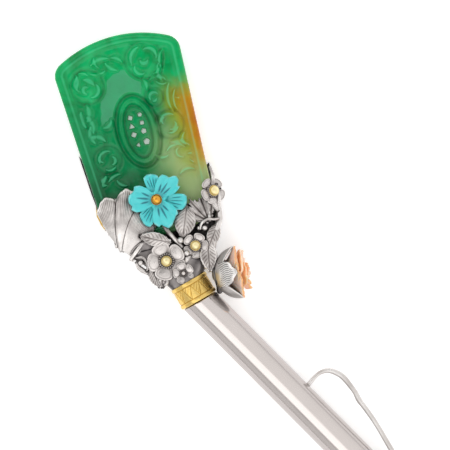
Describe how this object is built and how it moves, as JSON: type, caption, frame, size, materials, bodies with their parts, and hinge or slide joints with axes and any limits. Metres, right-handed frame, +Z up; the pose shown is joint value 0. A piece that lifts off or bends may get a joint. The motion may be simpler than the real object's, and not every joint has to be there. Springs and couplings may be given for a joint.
{
  "type": "binyeo hairpin",
  "caption": "Traditional hairpin: carved green jade plaque in a silver mount of leaves and blossoms, on a long round silver shaft with a side prong.",
  "frame": {"origin": "middle of the outer box in plan, on the surface that the hairpin lies on", "axes": "+X runs along the shaft from the head to its tip, +Z points up out of the front of the plaque, and +Y to the side that the head leans to"},
  "size_m": [0.1748, 0.0448, 0.0133],
  "materials": {
    "jade": "polished translucent carved jade, green with an amber stain down the right side",
    "oxidised_silver": "chased and oxidised silver, darkened in the recesses",
    "gilt_silver": "thin gilded leaf",
    "turquoise": "carved turquoise with a waxy polish",
    "gold_beads": "small gilded domes in plain collars",
    "gold_band": "gilded band with engraved zigzags between two rims",
    "cup_silver": "chased and oxidised silver",
    "coral": "carved coral, pink shading to orange",
    "polished_silver": "polished silver",
    "prong_silver": "drawn silver wire with a twig-like surface"
  },
  "bodies": {
    "root": {"jade_plaque": "jade", "silver_mount": "oxidised_silver", "gilt_leaf": "gilt_silver", "turquoise_flower": "turquoise", "turquoise_bead": "gold_beads", "plum_bead": "gold_beads", "small_blossom_bead": "gold_beads", "side_blossom_bead": "gold_beads", "gold_ferrule": "gold_band", "lotus_cup": "cup_silver", "coral_flower": "coral", "shaft": "polished_silver", "hair_prong": "prong_silver"}
  },
  "joints": []
}
